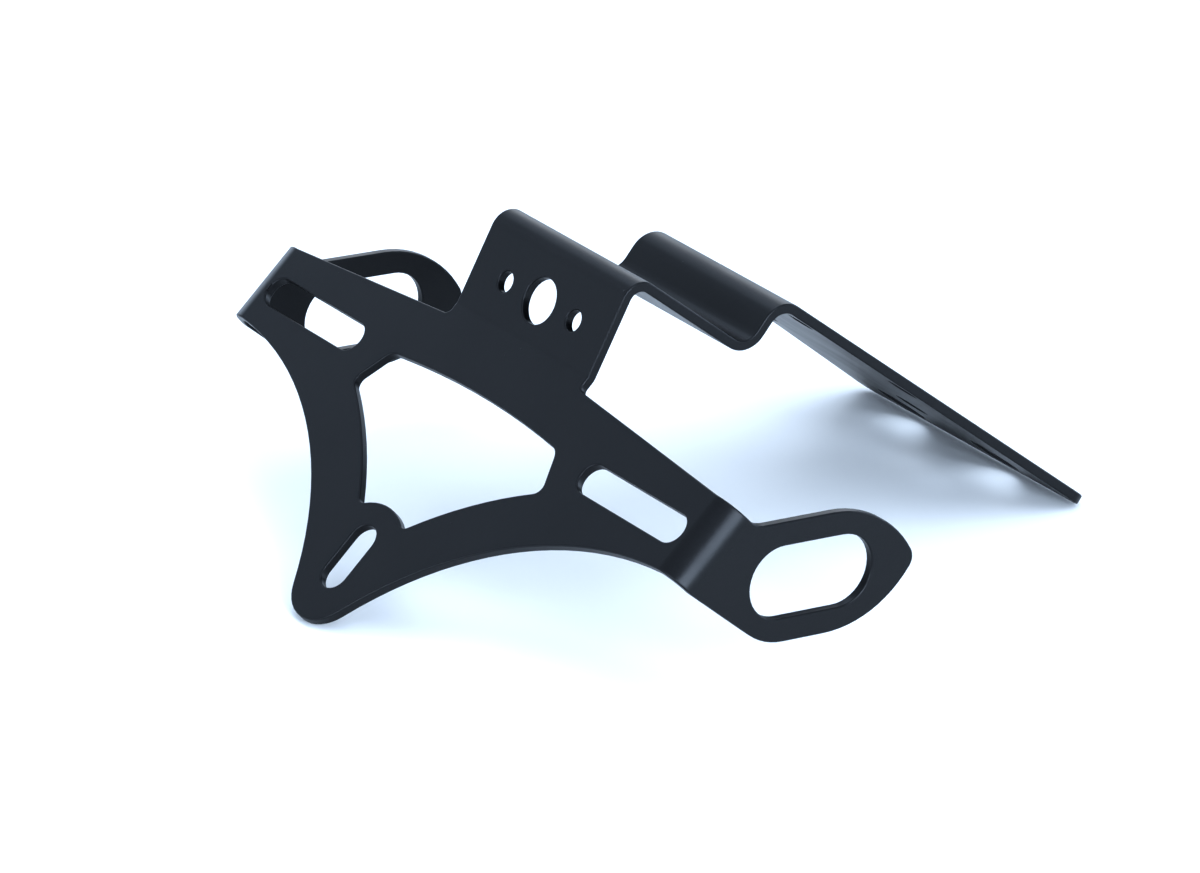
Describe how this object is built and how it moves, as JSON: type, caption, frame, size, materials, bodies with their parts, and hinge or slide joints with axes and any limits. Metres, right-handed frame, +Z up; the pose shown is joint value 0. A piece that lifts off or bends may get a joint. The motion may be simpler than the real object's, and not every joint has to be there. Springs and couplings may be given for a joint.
{
  "type": "motorbike tail tidy",
  "caption": "Folded sheet bracket that hangs a number plate, its light and the indicators under a motorbike's tail, with a windowed plate, pointed side ears and a stepped, drilled tray.",
  "frame": {"origin": "on the floor, under the middle of the bounding box, with the part standing on the tip of its lobe and the far edge of its tray", "axes": "+X across the bike to the right ear as seen from behind, +Y from the number plate towards the tray's far edge, +Z up from the floor"},
  "size_m": [0.19, 0.1992, 0.0794],
  "materials": {
    "powder_coated_steel": "satin black powder coat"
  },
  "bodies": {
    "root": {"folded_bracket": "powder_coated_steel"}
  },
  "joints": []
}
